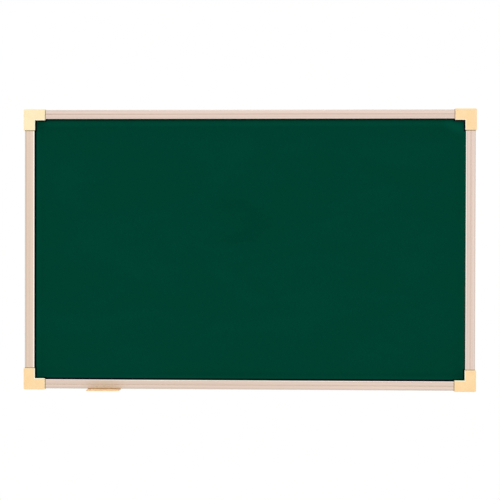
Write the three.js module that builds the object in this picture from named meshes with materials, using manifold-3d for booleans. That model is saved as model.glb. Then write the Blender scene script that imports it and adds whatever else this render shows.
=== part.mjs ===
// A wall-hung school chalkboard in an aluminium frame, in millimetres.
//
// The writing panel is a laminate: green coated steel, a light core and a back sheet. Four lengths of
// one extruded rail hold it by its edges, and four plastic corner caps plug into the rails' hollow
// chambers. Two steel hooks carry the board by a groove behind the top rail, and a small chalk ledge
// runs in the groove on the bottom rail's outer side.
//
// Frame: +X to the right, +Y back into the wall, +Z up. The origin is in the middle of the top rail's
// rear face, which lies against the wall.

import * as THREE from 'three';
import { mergeVertices, toCreasedNormals } from 'three/addons/utils/BufferGeometryUtils.js';
import Module from 'manifold-3d';

const wasm = await Module();
wasm.setup();

// Frame, measured over the rails
const FRAME_WIDTH = 802;
const FRAME_HEIGHT = 498;

// Rail section: "across" runs from the rail's outer edge to the panel, "deep" from its front face back
const RAIL_FACE = 17;
const RAIL_DEPTH = 20;
const RAIL_WALL = 1.2;
const REAR_FLANGE_WIDTH = 19;
const OUTER_EDGE_RADIUS = 1.5;
const REAR_EDGE_RADIUS = 0.8;
const INNER_CHAMFER = 1.5;
const STEP_TO_PANEL = 8;
const CHAMBER_WIDTH = 5.6;
const FACE_GROOVE_ACROSS = 7.8;
const FACE_GROOVE_WIDTH = 1.2;
const FACE_GROOVE_DEPTH = 0.35;
const LIP_CHAMFER = 0.35;

// Groove in the rail's outer side, where the ledge's feet run
const SIDE_GROOVE_MOUTH = 5;
const SIDE_GROOVE_WIDTH = 8.8;
const SIDE_GROOVE_DEPTH = 3;

// Panel layers
const SHEET_THICKNESS = 0.4;
const CORE_THICKNESS = 4;
const BACK_THICKNESS = 0.3;
const GLUE_LINE = 0.1;
const PANEL_GAP = 0.2;
const PANEL_EDGE_GAP = 0.5;

// Corner caps
const CAP_ARM = 36.4;
const CAP_SKIN = 1.4;
const CAP_GAP = 0.25;
const CAP_CORNER_RADIUS = 2.4;
const CAP_EDGE_BEVEL = 1;
const CAP_LIP_DEEP = 2;
const CAP_RIB = 1.6;
const TONGUE_LENGTH = 30;
const TONGUE_LEAD_IN = 1.4;
const TONGUE_SLOT = 3;
const TONGUE_GAP = 0.2;

// Countersunk self-tapping screws
const SCREW_LENGTH = 9.5;
const SCREW_DIAMETER = 2.9;
const SCREW_HEAD_DIAMETER = 6;
const SCREW_TIP = 1.6;
const SCREW_RECESS_SPAN = 3.2;
const SCREW_RECESS_WIDTH = 0.8;
const SCREW_RECESS_DEPTH = 1.2;
const SCREW_GAP = 0.15;
const SCREW_FROM_RAIL_END = 9;
const SCREW_SIDES = 20;

// Wall hooks, bent from steel strip
const HOOK_STRIP = 1.5;
const HOOK_WIDTH = 30;
const HOOK_PLATE_DROP = 32;
const HOOK_PLATE_RADIUS = 5;
const HOOK_TONGUE_RADIUS = 1;
const HOOK_BEND_RADIUS = 0.6;
const HOOK_HOLE_DIAMETER = 4.5;
const HOOK_HOLE_SPACING = 14;
const HOOK_HOLES_FROM_EDGE = 9;
const HOOK_TONGUE_GAP = 0.4;
const HOOK_TOP_GAP = 0.8;
const HOOK_SEAT_GAP = 0.3;
const HOOK_FROM_SIDE = 151;

// Chalk ledge
const LEDGE_LENGTH = 59;
const LEDGE_REACH = 16;
const LEDGE_BEHIND = 17;
const LEDGE_THICKNESS = 1.6;
const LEDGE_FRONT_LEFT_RADIUS = 3;
const LEDGE_FRONT_RIGHT_RADIUS = 9;
const LEDGE_REAR_RADIUS = 2;
const LEDGE_EDGE_BEVEL = 0.4;
const LEDGE_TROUGH_WIDTH = 10;
const LEDGE_TROUGH_DEPTH = 0.8;
const LEDGE_TROUGH_MARGIN = 6;
const LEDGE_FOOT_LENGTH = 14;
const LEDGE_FOOT_SPACING = 36;
const LEDGE_FOOT_THICKNESS = 2.2;
const LEDGE_GAP = 0.3;
const LEDGE_FROM_SIDE = 142.5;

// Worked out from the sizes above
const PANEL_THICKNESS = SHEET_THICKNESS + CORE_THICKNESS + BACK_THICKNESS + 2 * GLUE_LINE;
const SHELF_DEEP = STEP_TO_PANEL + PANEL_THICKNESS + 2 * PANEL_GAP;
const REAR_WALL_DEEP = RAIL_DEPTH - RAIL_WALL;
const GROOVE_FLOOR_ACROSS = RAIL_WALL + SIDE_GROOVE_DEPTH;
const CHAMBER_ACROSS = GROOVE_FLOOR_ACROSS + RAIL_WALL;
const WEB_ACROSS = CHAMBER_ACROSS + CHAMBER_WIDTH;
const SLOT_ACROSS = WEB_ACROSS + RAIL_WALL;
const PANEL_ACROSS = SLOT_ACROSS + PANEL_EDGE_GAP;
const RAIL_START = REAR_FLANGE_WIDTH + CAP_GAP;
const CAP_PROUD = CAP_SKIN + CAP_GAP;
const SCREW_ALONG = RAIL_START + SCREW_FROM_RAIL_END;
const SCREW_ACROSS = CHAMBER_ACROSS + CHAMBER_WIDTH / 2;
const BOARD_CENTRE_Z = -(FRAME_HEIGHT - REAR_FLANGE_WIDTH) / 2;
const CUT_MARGIN = 1;
const CREASE_ANGLE = Math.PI / 7;

const X = new THREE.Vector3(1, 0, 0);
const Y = new THREE.Vector3(0, 1, 0);
const Z = new THREE.Vector3(0, 0, 1);

// Directions in which a drawn outline is turned: its own x, its own y, and the way it is extruded
const OUTLINE_ACROSS_WALL = new THREE.Matrix4().makeBasis(X, Z, Y.clone().negate());
const OUTLINE_ACROSS_LENGTH = new THREE.Matrix4().makeBasis(Y, Z, X);

// Materials

function finish(color, roughness, metalness) {
  return new THREE.MeshStandardMaterial({ color, roughness, metalness });
}

const MATERIALS = {
  greenCoating: finish(0x004030, 0.75, 0),
  core: finish(0xb89f7a, 0.95, 0),
  galvanised: finish(0xb4b7ba, 0.45, 0.85),
  anodised: finish(0xe2ccbd, 0.4, 0.85),
  capPlastic: finish(0xfddcaa, 0.45, 0),
  zincPlated: finish(0xc3c6c8, 0.35, 0.9),
};

// Solids

/** A closed three.js geometry as a solid that can be cut and joined. */
function solidOf(geometry) {
  const bare = geometry.clone();
  bare.deleteAttribute('normal');
  bare.deleteAttribute('uv');
  const merged = mergeVertices(bare);
  return new wasm.Manifold(new wasm.Mesh({
    numProp: 3,
    vertProperties: merged.attributes.position.array,
    triVerts: new Uint32Array(merged.index.array),
  }));
}

function geometryOf(solid) {
  const mesh = solid.getMesh();
  const geometry = new THREE.BufferGeometry();
  geometry.setAttribute('position', new THREE.BufferAttribute(new Float32Array(mesh.vertProperties), 3));
  geometry.setIndex(new THREE.BufferAttribute(new Uint32Array(mesh.triVerts), 1));
  return toCreasedNormals(geometry, CREASE_ANGLE);
}

function meshOf(name, solid, material) {
  const mesh = new THREE.Mesh(geometryOf(solid), material);
  mesh.name = name;
  return mesh;
}

/** A box between two corners. */
function block(x0, x1, y0, y1, z0, z1) {
  const geometry = new THREE.BoxGeometry(x1 - x0, y1 - y0, z1 - z0);
  geometry.translate((x0 + x1) / 2, (y0 + y1) / 2, (z0 + z1) / 2);
  return solidOf(geometry);
}

/** An outline extruded over a length, turned by one of the matrices above. */
function prism(shape, length, turn = new THREE.Matrix4(), bevel = 0) {
  const geometry = new THREE.ExtrudeGeometry(shape, {
    depth: length - 2 * bevel,
    curveSegments: 8,
    bevelEnabled: bevel > 0,
    bevelThickness: bevel,
    bevelSize: bevel,
    bevelOffset: -bevel,
    bevelSegments: 2,
  });
  geometry.translate(0, 0, bevel);
  geometry.applyMatrix4(turn);
  return solidOf(geometry);
}

function joined(solids) {
  return solids.reduce((whole, piece) => whole.add(piece));
}

function cutBy(solid, cutters) {
  return cutters.reduce((rest, cutter) => rest.subtract(cutter), solid);
}

// Outlines

function polygon(points) {
  return new THREE.Shape(points.map(([x, y]) => new THREE.Vector2(x, y)));
}

/** A rectangle whose corners are rounded one by one: lower left, lower right, upper right, upper left. */
function roundedRectangle(x0, x1, y0, y1, [lowerLeft, lowerRight, upperRight, upperLeft]) {
  const shape = new THREE.Shape();
  shape.moveTo(x0 + lowerLeft, y0);
  shape.lineTo(x1 - lowerRight, y0);
  shape.absarc(x1 - lowerRight, y0 + lowerRight, lowerRight, -Math.PI / 2, 0, false);
  shape.lineTo(x1, y1 - upperRight);
  shape.absarc(x1 - upperRight, y1 - upperRight, upperRight, 0, Math.PI / 2, false);
  shape.lineTo(x0 + upperLeft, y1);
  shape.absarc(x0 + upperLeft, y1 - upperLeft, upperLeft, Math.PI / 2, Math.PI, false);
  shape.lineTo(x0, y0 + lowerLeft);
  shape.absarc(x0 + lowerLeft, y0 + lowerLeft, lowerLeft, Math.PI, 1.5 * Math.PI, false);
  return shape;
}

/** The extruded rail's section, across in x and deep in y. */
function railSection() {
  const grooveLow = RAIL_DEPTH / 2 - SIDE_GROOVE_WIDTH / 2;
  const grooveHigh = RAIL_DEPTH / 2 + SIDE_GROOVE_WIDTH / 2;
  const mouthLow = RAIL_DEPTH / 2 - SIDE_GROOVE_MOUTH / 2;
  const mouthHigh = RAIL_DEPTH / 2 + SIDE_GROOVE_MOUTH / 2;
  const shelfBack = SHELF_DEEP + RAIL_WALL;
  const lipInside = RAIL_FACE - RAIL_WALL;
  // The chamfer's inner line lies one wall behind its outer one
  const chamferShift = RAIL_FACE - INNER_CHAMFER - RAIL_WALL * Math.SQRT2;
  const shape = new THREE.Shape();

  // Front: rounded outer edge, decorative groove, chamfer down to the lip on the panel
  shape.moveTo(0, OUTER_EDGE_RADIUS);
  shape.absarc(OUTER_EDGE_RADIUS, OUTER_EDGE_RADIUS, OUTER_EDGE_RADIUS, Math.PI, 1.5 * Math.PI, false);
  shape.lineTo(FACE_GROOVE_ACROSS - FACE_GROOVE_WIDTH / 2, 0);
  shape.lineTo(FACE_GROOVE_ACROSS - FACE_GROOVE_WIDTH / 6, FACE_GROOVE_DEPTH);
  shape.lineTo(FACE_GROOVE_ACROSS + FACE_GROOVE_WIDTH / 6, FACE_GROOVE_DEPTH);
  shape.lineTo(FACE_GROOVE_ACROSS + FACE_GROOVE_WIDTH / 2, 0);
  shape.lineTo(RAIL_FACE - INNER_CHAMFER, 0);
  shape.lineTo(RAIL_FACE, INNER_CHAMFER);
  shape.lineTo(RAIL_FACE, STEP_TO_PANEL - LIP_CHAMFER);
  shape.lineTo(RAIL_FACE - LIP_CHAMFER, STEP_TO_PANEL);
  shape.lineTo(lipInside, STEP_TO_PANEL);
  shape.lineTo(lipInside, lipInside - chamferShift);
  shape.lineTo(chamferShift + RAIL_WALL, RAIL_WALL);

  // Slot for the panel, then the groove for the wall hooks
  shape.lineTo(SLOT_ACROSS, RAIL_WALL);
  shape.lineTo(SLOT_ACROSS, SHELF_DEEP);
  shape.lineTo(REAR_FLANGE_WIDTH - LIP_CHAMFER, SHELF_DEEP);
  shape.lineTo(REAR_FLANGE_WIDTH, SHELF_DEEP + LIP_CHAMFER);
  shape.lineTo(REAR_FLANGE_WIDTH, shelfBack);
  shape.lineTo(SLOT_ACROSS, shelfBack);
  shape.lineTo(SLOT_ACROSS, REAR_WALL_DEEP);
  shape.lineTo(REAR_FLANGE_WIDTH - LIP_CHAMFER, REAR_WALL_DEEP);
  shape.lineTo(REAR_FLANGE_WIDTH, REAR_WALL_DEEP + LIP_CHAMFER);
  shape.lineTo(REAR_FLANGE_WIDTH, RAIL_DEPTH);

  // Rear face and outer side, with its groove
  shape.lineTo(REAR_EDGE_RADIUS, RAIL_DEPTH);
  shape.absarc(REAR_EDGE_RADIUS, RAIL_DEPTH - REAR_EDGE_RADIUS, REAR_EDGE_RADIUS, Math.PI / 2, Math.PI, false);
  shape.lineTo(0, mouthHigh);
  shape.lineTo(RAIL_WALL, mouthHigh);
  shape.lineTo(RAIL_WALL, grooveHigh);
  shape.lineTo(GROOVE_FLOOR_ACROSS, grooveHigh);
  shape.lineTo(GROOVE_FLOOR_ACROSS, grooveLow);
  shape.lineTo(RAIL_WALL, grooveLow);
  shape.lineTo(RAIL_WALL, mouthLow);
  shape.lineTo(0, mouthLow);

  // Hollow chamber behind the front wall, which takes the corner cap's tongue
  const chamber = new THREE.Path([
    [RAIL_WALL, RAIL_WALL],
    [RAIL_WALL, grooveLow - RAIL_WALL],
    [CHAMBER_ACROSS, grooveLow - RAIL_WALL],
    [CHAMBER_ACROSS, grooveHigh + RAIL_WALL],
    [RAIL_WALL, grooveHigh + RAIL_WALL],
    [RAIL_WALL, REAR_WALL_DEEP],
    [WEB_ACROSS, REAR_WALL_DEEP],
    [WEB_ACROSS, RAIL_WALL],
  ].map(([x, y]) => new THREE.Vector2(x, y)));
  shape.holes.push(chamber);
  return shape;
}

/** The L of a corner cap, drawn with the frame's outer corner at 0, 0 and the arms to the right and down. */
function capOutline() {
  const inner = RAIL_FACE + CAP_PROUD;
  const shape = new THREE.Shape();
  shape.moveTo(-CAP_PROUD, -CAP_ARM);
  shape.lineTo(inner, -CAP_ARM);
  shape.lineTo(inner, -inner);
  shape.lineTo(CAP_ARM, -inner);
  shape.lineTo(CAP_ARM, CAP_PROUD);
  shape.lineTo(CAP_CORNER_RADIUS - CAP_PROUD, CAP_PROUD);
  shape.absarc(
    CAP_CORNER_RADIUS - CAP_PROUD, CAP_PROUD - CAP_CORNER_RADIUS, CAP_CORNER_RADIUS,
    Math.PI / 2, Math.PI, false,
  );
  return shape;
}

// Pieces

/** A screw along Y: the flat of its head at 0, its point towards -Y, grown by a gap where it is a cutter. */
function screwSolid(gap = 0) {
  const shank = SCREW_DIAMETER / 2 + gap;
  const head = SCREW_HEAD_DIAMETER / 2 + gap;
  const headBottom = shank - head;
  const tip = -SCREW_LENGTH - gap;
  const profile = [
    [0, tip],
    [shank, tip + SCREW_TIP],
    [shank, headBottom],
    [head, 0],
    [0, 0],
  ].map(([x, y]) => new THREE.Vector2(x, y));
  return solidOf(new THREE.LatheGeometry(profile, SCREW_SIDES));
}

function screw() {
  const slot = block(
    -SCREW_RECESS_SPAN / 2, SCREW_RECESS_SPAN / 2,
    -SCREW_RECESS_DEPTH, CUT_MARGIN,
    -SCREW_RECESS_WIDTH / 2, SCREW_RECESS_WIDTH / 2,
  );
  return cutBy(screwSolid(), [slot, slot.rotate([0, 90, 0])]);
}

/** The screws' places on one corner: one on the rail that runs right, one on the rail that runs down. */
function screwPlaces() {
  return {
    across: [SCREW_ALONG, RAIL_DEPTH, -SCREW_ACROSS],
    down: [SCREW_ACROSS, RAIL_DEPTH, -SCREW_ALONG],
  };
}

/** One rail: across in x, deep in y, its length centred on z, with a screw hole near each end. */
function rail(frameLength) {
  const length = frameLength - 2 * RAIL_START;
  const bar = prism(railSection(), length).translate([0, 0, -length / 2]);
  const holes = [-1, 1].map((end) => screwSolid(SCREW_GAP).translate([
    SCREW_ACROSS, RAIL_DEPTH, end * (frameLength / 2 - SCREW_ALONG),
  ]));
  return cutBy(bar, holes);
}

/** A tongue that plugs into the chamber of the rail running right, split so that it springs. */
function tongue() {
  const low = CHAMBER_ACROSS + TONGUE_GAP;
  const high = WEB_ACROSS - TONGUE_GAP;
  const front = RAIL_WALL + TONGUE_GAP;
  const back = REAR_WALL_DEEP - TONGUE_GAP;
  const root = RAIL_START - CAP_RIB;
  const end = RAIL_START + TONGUE_LENGTH;
  const outline = polygon([
    [root, -low],
    [root, -high],
    [end - TONGUE_LEAD_IN, -high],
    [end, -high + TONGUE_LEAD_IN],
    [end, -low - TONGUE_LEAD_IN],
    [end - TONGUE_LEAD_IN, -low],
  ]);
  const bar = prism(outline, back - front, OUTLINE_ACROSS_WALL).translate([0, back, 0]);
  const middle = (front + back) / 2;
  const slot = block(
    RAIL_START + CAP_RIB, end + CUT_MARGIN,
    middle - TONGUE_SLOT, middle,
    -high - CUT_MARGIN, -low + CUT_MARGIN,
  );
  return bar.subtract(slot);
}

/** A solid on the arm that runs right, and the same one on the arm that runs down. */
function onBothArms(solid) {
  return [solid, solid.mirror([1, 0, 1])];
}

/** One corner cap: front plate, outer walls, ribbed corner and two tongues. Deep is y. */
function cornerCap() {
  const inner = RAIL_FACE + CAP_PROUD;
  const blockEnd = RAIL_START - CAP_GAP;
  const panelCorner = PANEL_ACROSS - CAP_GAP;
  const far = CAP_ARM + CUT_MARGIN;
  const rear = RAIL_DEPTH + CUT_MARGIN;

  // Everything that shows from the front, and the walls along the rails' outer sides
  const whole = prism(capOutline(), RAIL_DEPTH + 2 * CAP_PROUD, OUTLINE_ACROSS_WALL, CAP_EDGE_BEVEL)
    .translate([0, RAIL_DEPTH + CAP_PROUD, 0])
    .subtract(block(-far, far, RAIL_DEPTH, rear + CAP_PROUD, -far, far));
  const behindPanel = block(panelCorner, blockEnd, STEP_TO_PANEL, RAIL_DEPTH, -blockEnd, -panelCorner);

  const railRoom = block(RAIL_START - CAP_GAP, far, -CAP_GAP, rear, -RAIL_FACE - CAP_GAP, CAP_GAP);

  // The lip over the rails' inner chamfers is short, and the corner behind it is flush with the rails
  const behindLip = block(RAIL_START - CAP_GAP, far, CAP_LIP_DEEP, rear, -inner - CUT_MARGIN, CAP_GAP);
  const cornerBehindLip = block(
    RAIL_FACE + CAP_GAP, inner + CUT_MARGIN, CAP_LIP_DEEP, STEP_TO_PANEL,
    -inner - CUT_MARGIN, -RAIL_FACE - CAP_GAP,
  );
  const panelRoom = block(
    panelCorner, far, STEP_TO_PANEL, SHELF_DEEP, -far, -panelCorner,
  );

  // Pockets that core the corner from behind and leave its ribs
  const pocketFront = CAP_SKIN - CAP_PROUD + CAP_RIB / 2;
  const outerWall = CAP_RIB - CAP_PROUD;
  const cornerEnd = panelCorner - CAP_RIB;
  const sidePocket = block(
    cornerEnd + CAP_RIB, blockEnd - CAP_RIB, pocketFront, rear, -cornerEnd, -outerWall,
  );
  const cornerPocket = block(outerWall, cornerEnd, pocketFront, rear, -cornerEnd, -outerWall);
  const diagonal = block(-far, far, pocketFront, rear, -CAP_RIB / 2, CAP_RIB / 2).rotate([0, 45, 0]);
  const rearPocket = block(
    panelCorner + CAP_RIB, blockEnd - CAP_RIB, SHELF_DEEP + CAP_RIB, rear,
    -blockEnd + CAP_RIB, -panelCorner - CAP_RIB,
  );

  const shell = cutBy(whole.add(behindPanel), [
    ...onBothArms(railRoom),
    ...onBothArms(behindLip),
    cornerBehindLip,
    panelRoom,
    ...onBothArms(sidePocket),
    cornerPocket.subtract(diagonal),
    rearPocket,
  ]);
  const cap = joined([shell, ...onBothArms(tongue())]);
  return cutBy(cap, Object.values(screwPlaces()).map((place) => screwSolid(SCREW_GAP).translate(place)));
}

/** A layer of the panel, from one depth over a thickness. */
function panelLayer(front, thickness) {
  const halfWidth = FRAME_WIDTH / 2 - PANEL_ACROSS;
  const halfHeight = FRAME_HEIGHT / 2 - PANEL_ACROSS;
  return block(-halfWidth, halfWidth, front, front + thickness, -halfHeight, halfHeight);
}

/** A wall hook: a tongue up behind the rear flange, a step that the flange sits on, and the wall plate. */
function wallHook() {
  const tongueBack = REAR_WALL_DEEP - HOOK_TONGUE_GAP;
  const tongueFront = tongueBack - HOOK_STRIP;
  const plateFront = RAIL_DEPTH - HOOK_STRIP;
  const top = -(SLOT_ACROSS + HOOK_TOP_GAP);
  const seat = -(REAR_FLANGE_WIDTH + HOOK_SEAT_GAP);
  const bottom = seat - HOOK_PLATE_DROP;
  const bend = HOOK_BEND_RADIUS;
  const profile = new THREE.Shape();
  profile.moveTo(tongueFront, top);
  profile.lineTo(tongueBack, top);
  profile.lineTo(tongueBack, seat);
  profile.absarc(RAIL_DEPTH - bend, seat - bend, bend, Math.PI / 2, 0, true);
  profile.lineTo(RAIL_DEPTH, bottom);
  profile.lineTo(plateFront, bottom);
  profile.lineTo(plateFront, seat - HOOK_STRIP);
  profile.absarc(tongueFront + bend, seat - HOOK_STRIP + bend, bend, 1.5 * Math.PI, Math.PI, true);
  const strip = prism(profile, HOOK_WIDTH, OUTLINE_ACROSS_LENGTH).translate([-HOOK_WIDTH / 2, 0, 0]);
  const half = HOOK_WIDTH / 2;
  const outline = roundedRectangle(-half, half, bottom, top,
    [HOOK_PLATE_RADIUS, HOOK_PLATE_RADIUS, HOOK_TONGUE_RADIUS, HOOK_TONGUE_RADIUS]);
  for (const side of [-1, 1]) {
    const hole = new THREE.Path();
    hole.absarc(
      side * HOOK_HOLE_SPACING / 2, bottom + HOOK_HOLES_FROM_EDGE, HOOK_HOLE_DIAMETER / 2,
      0, 2 * Math.PI, true,
    );
    outline.holes.push(hole);
  }
  const blank = prism(outline, RAIL_DEPTH + 2 * CUT_MARGIN, OUTLINE_ACROSS_WALL)
    .translate([0, RAIL_DEPTH + CUT_MARGIN, 0]);
  return strip.intersect(blank);
}

/** The chalk ledge: z is 0 at the bottom rail's underside, y is 0 at the rails' front. */
function chalkLedge() {
  const half = LEDGE_LENGTH / 2;
  const top = -LEDGE_GAP;
  const plate = prism(
    roundedRectangle(-half, half, -LEDGE_REACH, LEDGE_BEHIND,
      [LEDGE_FRONT_LEFT_RADIUS, LEDGE_FRONT_RIGHT_RADIUS, LEDGE_REAR_RADIUS, LEDGE_REAR_RADIUS]),
    LEDGE_THICKNESS, undefined, LEDGE_EDGE_BEVEL,
  ).translate([0, 0, top - LEDGE_THICKNESS]);

  // A shallow cylinder cuts the trough, as wide at the top as the chord that it leaves
  const chord = LEDGE_TROUGH_WIDTH / 2;
  const radius = (chord ** 2 + LEDGE_TROUGH_DEPTH ** 2) / (2 * LEDGE_TROUGH_DEPTH);
  const cylinder = new THREE.CylinderGeometry(radius, radius, LEDGE_LENGTH - 2 * LEDGE_TROUGH_MARGIN, 96);
  cylinder.rotateZ(Math.PI / 2);
  cylinder.translate(0, -LEDGE_REACH / 2, top - LEDGE_TROUGH_DEPTH + radius);

  const neck = SIDE_GROOVE_MOUTH / 2 - LEDGE_GAP;
  const head = SIDE_GROOVE_WIDTH / 2 - LEDGE_GAP;
  const headLow = RAIL_WALL + LEDGE_GAP;
  const middle = RAIL_DEPTH / 2;
  const feet = [-1, 1].flatMap((side) => {
    const x0 = side * LEDGE_FOOT_SPACING / 2 - LEDGE_FOOT_LENGTH / 2;
    const x1 = x0 + LEDGE_FOOT_LENGTH;
    return [
      block(x0, x1, middle - neck, middle + neck, top - LEDGE_THICKNESS / 2, headLow + LEDGE_FOOT_THICKNESS / 2),
      block(x0, x1, middle - head, middle + head, headLow, headLow + LEDGE_FOOT_THICKNESS),
    ];
  });
  return joined([plate.subtract(solidOf(cylinder)), ...feet]);
}

// Assembly

const chalkboard = new THREE.Group();
const board = new THREE.Group();
board.position.set(0, -RAIL_DEPTH, BOARD_CENTRE_Z);
chalkboard.add(board);

// Laminated panel, from the front back
const sheetFront = STEP_TO_PANEL + PANEL_GAP;
const coreFront = sheetFront + SHEET_THICKNESS + GLUE_LINE;
const backFront = coreFront + CORE_THICKNESS + GLUE_LINE;
board.add(meshOf('writing_sheet', panelLayer(sheetFront, SHEET_THICKNESS), MATERIALS.greenCoating));
board.add(meshOf('core_board', panelLayer(coreFront, CORE_THICKNESS), MATERIALS.core));
board.add(meshOf('back_sheet', panelLayer(backFront, BACK_THICKNESS), MATERIALS.galvanised));

// Rails, each a quarter turn on from the last
const SIDES = [
  { name: 'left_rail', length: FRAME_HEIGHT, from: FRAME_WIDTH / 2 },
  { name: 'top_rail', length: FRAME_WIDTH, from: FRAME_HEIGHT / 2 },
  { name: 'right_rail', length: FRAME_HEIGHT, from: FRAME_WIDTH / 2 },
  { name: 'bottom_rail', length: FRAME_WIDTH, from: FRAME_HEIGHT / 2 },
];
SIDES.forEach(({ name, length, from }, quarter) => {
  const side = new THREE.Group();
  side.rotation.y = quarter * Math.PI / 2;
  const bar = meshOf(name, rail(length), MATERIALS.anodised);
  bar.position.x = -from;
  side.add(bar);
  board.add(side);
});

// Corner caps and their screws, each a quarter turn on from the last
const CORNERS = [
  { name: 'top_left', x: -1, z: 1 },
  { name: 'top_right', x: 1, z: 1 },
  { name: 'bottom_right', x: 1, z: -1 },
  { name: 'bottom_left', x: -1, z: -1 },
];
CORNERS.forEach(({ name, x, z }, quarter) => {
  const corner = new THREE.Group();
  corner.position.set(x * FRAME_WIDTH / 2, 0, z * FRAME_HEIGHT / 2);
  corner.rotation.y = quarter * Math.PI / 2;
  corner.add(meshOf(`${name}_cap`, cornerCap(), MATERIALS.capPlastic));
  Object.entries(screwPlaces()).forEach(([arm, place], number) => {
    const fastener = meshOf(`${name}_screw_${number + 1}`, screw(), MATERIALS.zincPlated);
    fastener.position.set(...place);
    corner.add(fastener);
  });
  board.add(corner);
});

// Wall hooks behind the top rail
for (const [name, side] of [['left_wall_hook', -1], ['right_wall_hook', 1]]) {
  const hook = meshOf(name, wallHook(), MATERIALS.zincPlated);
  hook.position.set(side * (FRAME_WIDTH / 2 - HOOK_FROM_SIDE), 0, FRAME_HEIGHT / 2);
  board.add(hook);
}

// Chalk ledge under the bottom rail
const ledge = meshOf('chalk_ledge', chalkLedge(), MATERIALS.capPlastic);
ledge.position.set(LEDGE_FROM_SIDE - FRAME_WIDTH / 2, 0, -FRAME_HEIGHT / 2);
board.add(ledge);

export default chalkboard;
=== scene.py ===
"""A wall-hung school chalkboard in an aluminium frame: its looks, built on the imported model.

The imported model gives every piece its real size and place, in metres: +X to the viewer's right, +Y back
into the wall, +Z up, with the origin on the wall behind the middle of the top rail. Lengths and places are
written here in millimetres, angles in degrees and colours in sRGB hex.
"""

import math

import bmesh
import bpy
from mathutils import Matrix, Vector


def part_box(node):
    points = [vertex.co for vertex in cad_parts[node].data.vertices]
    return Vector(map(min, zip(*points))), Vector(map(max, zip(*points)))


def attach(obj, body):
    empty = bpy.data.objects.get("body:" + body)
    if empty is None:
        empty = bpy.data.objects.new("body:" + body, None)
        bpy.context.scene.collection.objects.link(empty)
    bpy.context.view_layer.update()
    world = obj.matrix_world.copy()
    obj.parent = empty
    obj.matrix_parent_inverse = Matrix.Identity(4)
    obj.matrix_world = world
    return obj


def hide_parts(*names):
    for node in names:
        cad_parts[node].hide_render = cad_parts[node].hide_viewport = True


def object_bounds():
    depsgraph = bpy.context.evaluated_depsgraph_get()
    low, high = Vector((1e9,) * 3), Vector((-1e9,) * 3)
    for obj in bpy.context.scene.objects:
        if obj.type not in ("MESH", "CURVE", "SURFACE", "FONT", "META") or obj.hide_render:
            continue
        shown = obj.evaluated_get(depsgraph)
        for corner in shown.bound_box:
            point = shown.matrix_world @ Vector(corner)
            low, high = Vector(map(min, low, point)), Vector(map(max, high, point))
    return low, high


MM = 0.001

# The photograph's camera. It stands a little right of the board's middle and turns back to it, which makes
# the board's right side the taller one.
CAMERA_PLACE = (50.2, -1820.0, -228.3)
CAMERA_TURN = 1.528
CAMERA_TILT = -0.367
CAMERA_ROLL = -0.115
FOCAL_LENGTH = 72.9
SENSOR_WIDTH = 36.0

# The floor lies low enough to look up at the board from straight below
FLOOR_BELOW_BOARD = 1700.0
FLOOR_RADIUS = 2300.0
FLOOR_SIDES = 96

# Soft light: the world's level straight below and straight above, and a soft box, its power in watts
WORLD_BELOW = 0.4
WORLD_ABOVE = 1.38
SOFT_BOX_PLACE = (200.0, -2300.0, 2050.0)
SOFT_BOX_SIZE = 1600.0
SOFT_BOX_POWER = 15.5

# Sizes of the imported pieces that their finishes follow: the rail's face with its rounded outer edge, groove
# and inner chamfer, and the caps' arms with their bevel
RAIL_FACE = 17.0
RAIL_OUTER_EDGE = 1.5
RAIL_GROOVE = (7.2, 8.4)
RAIL_CHAMFER = 1.5
CAP_ARM = 36.4
CAP_PROUD = 1.65
CAP_BEVEL = 1.0

# Depths along Y: the rails' front, where the face's rounded edge and chamfer have ended, just behind the
# panel's front, and where the rails' rear edge begins
RAIL_FRONT = -20.0
FACE_DEPTH = -18.3
PANEL_FRONT = -11.8
RAIL_REAR = -1.5

# Sizes of the patterns along X, Y and Z. A rail has fine hair lines and wide soft bands.
LEVEL_LINES = ((400.0, 0.4, 0.4), (2000.0, 3.2, 3.2))
UPRIGHT_LINES = ((0.4, 0.4, 400.0), (3.2, 3.2, 2000.0))
MOULD_GRAIN = (0.55, 0.55, 0.55)
CAP_CLOUDS = (14.0, 14.0, 14.0)
LEDGE_CLOUDS = (9.0, 9.0, 9.0)
LEDGE_DUST = (1.6, 0.9, 1.6)
CHALK_TOOTH = (0.5, 0.5, 0.5)
CHALK_CLOUDS = (160.0, 160.0, 70.0)
CORE_FIBRES = (3.0, 0.5, 3.0)
SHEET_CRYSTALS = (7.0, 7.0, 7.0)
PLATING_CLOUDS = (5.0, 5.0, 5.0)

# The anodising differs a little from bar to bar, and each bar has its own painted light and shade, set by the
# side it faces:
# the darker and the lighter satin, the groove's floor in painted shade, the rim beside the inner chamfer in
# painted light or shade, the chamfer's painted highlight, the wall from there down to the panel, painted dark
# as shade and as a reflection of the panel as far as its colour says, and how far that painted shade reaches
# out over the wall's edge
RAIL_FINISHES = {
    "top_rail": {
        "lines": LEVEL_LINES, "satin": ("#ccb7ab", "#e8d5c9"), "groove": "#cbb6a7",
        "rim": "#dac5b7", "chamfer": "#f6e9e2", "wall": "#3d3733", "reach": 1.3,
    },
    "bottom_rail": {
        "lines": LEVEL_LINES, "satin": ("#cfbaab", "#ebd7c9"), "groove": "#d0bbab",
        "rim": "#dcc6b7", "chamfer": "#fff7ee", "wall": "#524b45", "reach": 0.7,
    },
    "left_rail": {
        "lines": UPRIGHT_LINES, "satin": ("#d2bcaa", "#eedac8"), "groove": "#e0cab9",
        "rim": "#eddbc6", "chamfer": "#fffbf0", "wall": "#8c827a", "reach": 0.0,
    },
    "right_rail": {
        "lines": UPRIGHT_LINES, "satin": ("#d2bdb0", "#eedacf"), "groove": "#dfcabb",
        "rim": "#cab6a9", "chamfer": "#f8ebe1", "wall": "#d4c4b8", "reach": -0.1,
    },
}

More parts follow.
